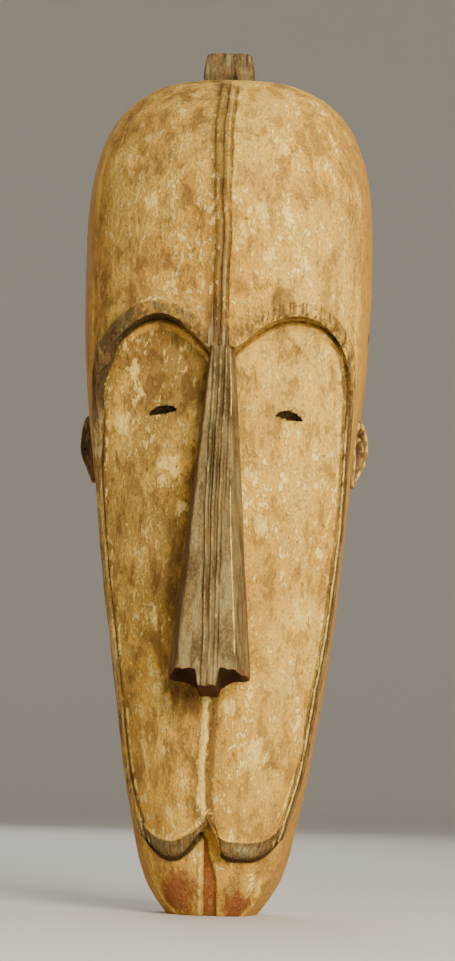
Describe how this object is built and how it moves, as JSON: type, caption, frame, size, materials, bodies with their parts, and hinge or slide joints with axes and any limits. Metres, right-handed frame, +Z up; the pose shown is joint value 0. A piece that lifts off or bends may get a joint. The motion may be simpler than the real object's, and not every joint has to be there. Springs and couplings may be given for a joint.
{
  "type": "carved wooden mask",
  "caption": "Tall hollow face mask in whitened wood with arched brows, slit eyes, long flared nose, side ears and crest lug.",
  "frame": {"origin": "middle of the footprint on the surface that the mask stands on, with the chin foot at z = 0", "axes": "+X across the face towards the viewer's right, +Y from the face to the open back, +Z up towards the crest lug"},
  "size_m": [0.201, 0.12, 0.6],
  "materials": {
    "whitened_wood": "worn kaolin clay over carved wood, matt",
    "stained_wood": "brown stain worn through at the edges, matt",
    "ear_wood": "brown stain, matt",
    "bare_wood": "bare weathered end of the block, rough",
    "peg_wood": "split pegs, unfinished"
  },
  "bodies": {
    "root": {"mask_shell": "whitened_wood", "nose": "stained_wood", "nose_dowels": "peg_wood", "ear_left": "ear_wood", "ear_right": "ear_wood", "ear_pegs": "peg_wood", "crest_lug": "bare_wood", "crest_peg": "peg_wood"}
  },
  "joints": []
}
